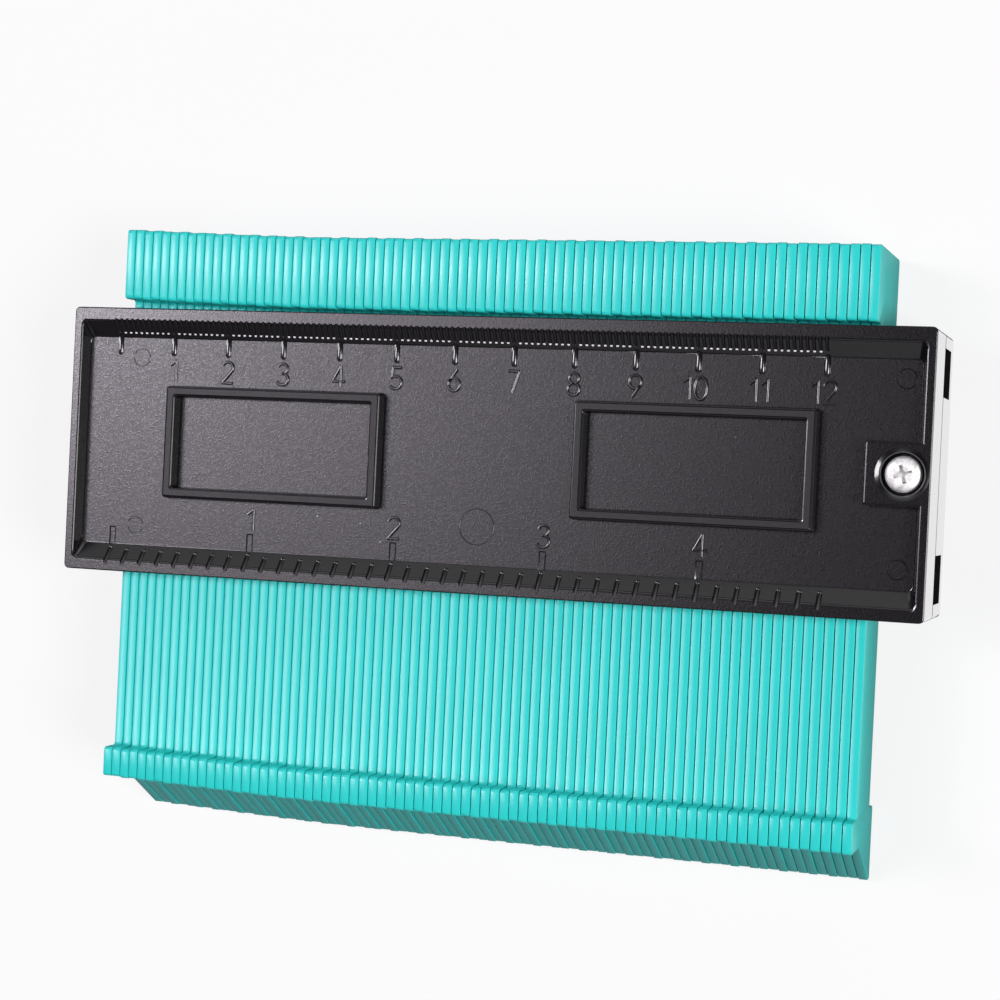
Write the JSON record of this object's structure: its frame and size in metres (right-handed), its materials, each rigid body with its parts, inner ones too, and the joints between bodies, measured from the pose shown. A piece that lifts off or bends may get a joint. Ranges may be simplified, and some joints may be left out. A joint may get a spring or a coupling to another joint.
{
  "type": "contour gauge",
  "caption": "Contour gauge: a pack of thin sliding leaves with square heads and wedge feet, held by friction between two black graduated covers joined by two screws.",
  "frame": {"origin": "middle of the box round the whole gauge, on the plane of the rear cover's rim that it lies on", "axes": "+X along the scales from the zero line to the screw end, +Y along the leaves towards their square heads, +Z out of the front cover's face"},
  "size_m": [0.1444, 0.1, 0.022],
  "materials": {
    "black_plastic": "black moulded plastic with a fine spark-eroded grain",
    "teal_plastic": "satin teal moulded plastic",
    "zinc_plated_steel": "bright zinc plating, slightly dull",
    "grey_rubber": "dense matt rubber"
  },
  "bodies": {
    "body": {"front_cover": "black_plastic", "rear_cover": "black_plastic", "front_screw": "zinc_plated_steel", "rear_screw": "zinc_plated_steel", "front_friction_strip": "grey_rubber", "rear_friction_strip": "grey_rubber"},
    "leaves_01_02": {"leaves_01_02": "teal_plastic"},
    "leaves_03_04": {"leaves_03_04": "teal_plastic"},
    "leaves_05_06": {"leaves_05_06": "teal_plastic"},
    "leaves_07_08": {"leaves_07_08": "teal_plastic"},
    "leaves_09_10": {"leaves_09_10": "teal_plastic"},
    "leaves_11_12": {"leaves_11_12": "teal_plastic"},
    "leaves_13_14": {"leaves_13_14": "teal_plastic"},
    "leaves_15_16": {"leaves_15_16": "teal_plastic"},
    "leaves_17_18": {"leaves_17_18": "teal_plastic"},
    "leaves_19_20": {"leaves_19_20": "teal_plastic"},
    "leaves_21_22": {"leaves_21_22": "teal_plastic"},
    "leaves_23_24": {"leaves_23_24": "teal_plastic"},
    "leaves_25_26": {"leaves_25_26": "teal_plastic"},
    "leaves_27_28": {"leaves_27_28": "teal_plastic"},
    "leaves_29_30": {"leaves_29_30": "teal_plastic"},
    "leaves_31_32": {"leaves_31_32": "teal_plastic"},
    "leaves_33_34": {"leaves_33_34": "teal_plastic"},
    "leaves_35_36": {"leaves_35_36": "teal_plastic"},
    "leaves_37_38": {"leaves_37_38": "teal_plastic"},
    "leaves_39_40": {"leaves_39_40": "teal_plastic"},
    "leaves_41_42": {"leaves_41_42": "teal_plastic"},
    "leaves_43_44": {"leaves_43_44": "teal_plastic"},
    "leaves_45_46": {"leaves_45_46": "teal_plastic"},
    "leaves_47_48": {"leaves_47_48": "teal_plastic"},
    "leaves_49_50": {"leaves_49_50": "teal_plastic"},
    "leaves_51_52": {"leaves_51_52": "teal_plastic"},
    "leaves_53_54": {"leaves_53_54": "teal_plastic"},
    "leaves_55_56": {"leaves_55_56": "teal_plastic"},
    "leaves_57_58": {"leaves_57_58": "teal_plastic"},
    "leaves_59_60": {"leaves_59_60": "teal_plastic"},
    "leaves_61_62": {"leaves_61_62": "teal_plastic"},
    "leaves_63_64": {"leaves_63_64": "teal_plastic"},
    "leaves_65_66": {"leaves_65_66": "teal_plastic"},
    "leaves_67_68": {"leaves_67_68": "teal_plastic"},
    "leaves_69_70": {"leaves_69_70": "teal_plastic"},
    "leaves_71_72": {"leaves_71_72": "teal_plastic"},
    "leaves_73_74": {"leaves_73_74": "teal_plastic"},
    "leaves_75_76": {"leaves_75_76": "teal_plastic"},
    "leaves_77_78": {"leaves_77_78": "teal_plastic"},
    "leaf_79": {"leaf_79": "teal_plastic"}
  },
  "joints": [
    {"name": "leaves_01_02_slide", "type": "slide", "parent": "body", "child": "leaves_01_02", "axis": [0, 1, 0], "range_m": [-0.00145, 0.0296]},
    {"name": "leaves_03_04_slide", "type": "slide", "parent": "body", "child": "leaves_03_04", "axis": [0, 1, 0], "range_m": [-0.00127, 0.02969]},
    {"name": "leaves_05_06_slide", "type": "slide", "parent": "body", "child": "leaves_05_06", "axis": [0, 1, 0], "range_m": [-0.00115, 0.02982]},
    {"name": "leaves_07_08_slide", "type": "slide", "parent": "body", "child": "leaves_07_08", "axis": [0, 1, 0], "range_m": [-0.00103, 0.02983]},
    {"name": "leaves_09_10_slide", "type": "slide", "parent": "body", "child": "leaves_09_10", "axis": [0, 1, 0], "range_m": [-0.00103, 0.02997]},
    {"name": "leaves_11_12_slide", "type": "slide", "parent": "body", "child": "leaves_11_12", "axis": [0, 1, 0], "range_m": [-0.00089, 0.03006]},
    {"name": "leaves_13_14_slide", "type": "slide", "parent": "body", "child": "leaves_13_14", "axis": [0, 1, 0], "range_m": [-0.00081, 0.03022]},
    {"name": "leaves_15_16_slide", "type": "slide", "parent": "body", "child": "leaves_15_16", "axis": [0, 1, 0], "range_m": [-0.00067, 0.03019]},
    {"name": "leaves_17_18_slide", "type": "slide", "parent": "body", "child": "leaves_17_18", "axis": [0, 1, 0], "range_m": [-0.00068, 0.03028]},
    {"name": "leaves_19_20_slide", "type": "slide", "parent": "body", "child": "leaves_19_20", "axis": [0, 1, 0], "range_m": [-0.00059, 0.03035]},
    {"name": "leaves_21_22_slide", "type": "slide", "parent": "body", "child": "leaves_21_22", "axis": [0, 1, 0], "range_m": [-0.00053, 0.03047]},
    {"name": "leaves_23_24_slide", "type": "slide", "parent": "body", "child": "leaves_23_24", "axis": [0, 1, 0], "range_m": [-0.00047, 0.03045]},
    {"name": "leaves_25_26_slide", "type": "slide", "parent": "body", "child": "leaves_25_26", "axis": [0, 1, 0], "range_m": [-0.00053, 0.03043]},
    {"name": "leaves_27_28_slide", "type": "slide", "parent": "body", "child": "leaves_27_28", "axis": [0, 1, 0], "range_m": [-0.00052, 0.03043]},
    {"name": "leaves_29_30_slide", "type": "slide", "parent": "body", "child": "leaves_29_30", "axis": [0, 1, 0], "range_m": [-0.00047, 0.03046]},
    {"name": "leaves_31_32_slide", "type": "slide", "parent": "body", "child": "leaves_31_32", "axis": [0, 1, 0], "range_m": [-0.00048, 0.03048]},
    {"name": "leaves_33_34_slide", "type": "slide", "parent": "body", "child": "leaves_33_34", "axis": [0, 1, 0], "range_m": [-0.0005, 0.03042]},
    {"name": "leaves_35_36_slide", "type": "slide", "parent": "body", "child": "leaves_35_36", "axis": [0, 1, 0], "range_m": [-0.00054, 0.03044]},
    {"name": "leaves_37_38_slide", "type": "slide", "parent": "body", "child": "leaves_37_38", "axis": [0, 1, 0], "range_m": [-0.00047, 0.03044]},
    {"name": "leaves_39_40_slide", "type": "slide", "parent": "body", "child": "leaves_39_40", "axis": [0, 1, 0], "range_m": [-0.0005, 0.03051]},
    {"name": "leaves_41_42_slide", "type": "slide", "parent": "body", "child": "leaves_41_42", "axis": [0, 1, 0], "range_m": [-0.00048, 0.03042]},
    {"name": "leaves_43_44_slide", "type": "slide", "parent": "body", "child": "leaves_43_44", "axis": [0, 1, 0], "range_m": [-0.00057, 0.03046]},
    {"name": "leaves_45_46_slide", "type": "slide", "parent": "body", "child": "leaves_45_46", "axis": [0, 1, 0], "range_m": [-0.00048, 0.03043]},
    {"name": "leaves_47_48_slide", "type": "slide", "parent": "body", "child": "leaves_47_48", "axis": [0, 1, 0], "range_m": [-0.00052, 0.03052]},
    {"name": "leaves_49_50_slide", "type": "slide", "parent": "body", "child": "leaves_49_50", "axis": [0, 1, 0], "range_m": [-0.00047, 0.03043]},
    {"name": "leaves_51_52_slide", "type": "slide", "parent": "body", "child": "leaves_51_52", "axis": [0, 1, 0], "range_m": [-0.00056, 0.03045]},
    {"name": "leaves_53_54_slide", "type": "slide", "parent": "body", "child": "leaves_53_54", "axis": [0, 1, 0], "range_m": [-0.00049, 0.03042]},
    {"name": "leaves_55_56_slide", "type": "slide", "parent": "body", "child": "leaves_55_56", "axis": [0, 1, 0], "range_m": [-0.00049, 0.0305]},
    {"name": "leaves_57_58_slide", "type": "slide", "parent": "body", "child": "leaves_57_58", "axis": [0, 1, 0], "range_m": [-0.00047, 0.03045]},
    {"name": "leaves_59_60_slide", "type": "slide", "parent": "body", "child": "leaves_59_60", "axis": [0, 1, 0], "range_m": [-0.00053, 0.03043]},
    {"name": "leaves_61_62_slide", "type": "slide", "parent": "body", "child": "leaves_61_62", "axis": [0, 1, 0], "range_m": [-0.00051, 0.03042]},
    {"name": "leaves_63_64_slide", "type": "slide", "parent": "body", "child": "leaves_63_64", "axis": [0, 1, 0], "range_m": [-0.00048, 0.03047]},
    {"name": "leaves_65_66_slide", "type": "slide", "parent": "body", "child": "leaves_65_66", "axis": [0, 1, 0], "range_m": [-0.00048, 0.03047]},
    {"name": "leaves_67_68_slide", "type": "slide", "parent": "body", "child": "leaves_67_68", "axis": [0, 1, 0], "range_m": [-0.00051, 0.03042]},
    {"name": "leaves_69_70_slide", "type": "slide", "parent": "body", "child": "leaves_69_70", "axis": [0, 1, 0], "range_m": [-0.00054, 0.03044]},
    {"name": "leaves_71_72_slide", "type": "slide", "parent": "body", "child": "leaves_71_72", "axis": [0, 1, 0], "range_m": [-0.00047, 0.03045]},
    {"name": "leaves_73_74_slide", "type": "slide", "parent": "body", "child": "leaves_73_74", "axis": [0, 1, 0], "range_m": [-0.0005, 0.0305]},
    {"name": "leaves_75_76_slide", "type": "slide", "parent": "body", "child": "leaves_75_76", "axis": [0, 1, 0], "range_m": [-0.00049, 0.03042]},
    {"name": "leaves_77_78_slide", "type": "slide", "parent": "body", "child": "leaves_77_78", "axis": [0, 1, 0], "range_m": [-0.00056, 0.03046]},
    {"name": "leaf_79_slide", "type": "slide", "parent": "body", "child": "leaf_79", "axis": [0, 1, 0], "range_m": [-0.00047, 0.03058]}
  ]
}
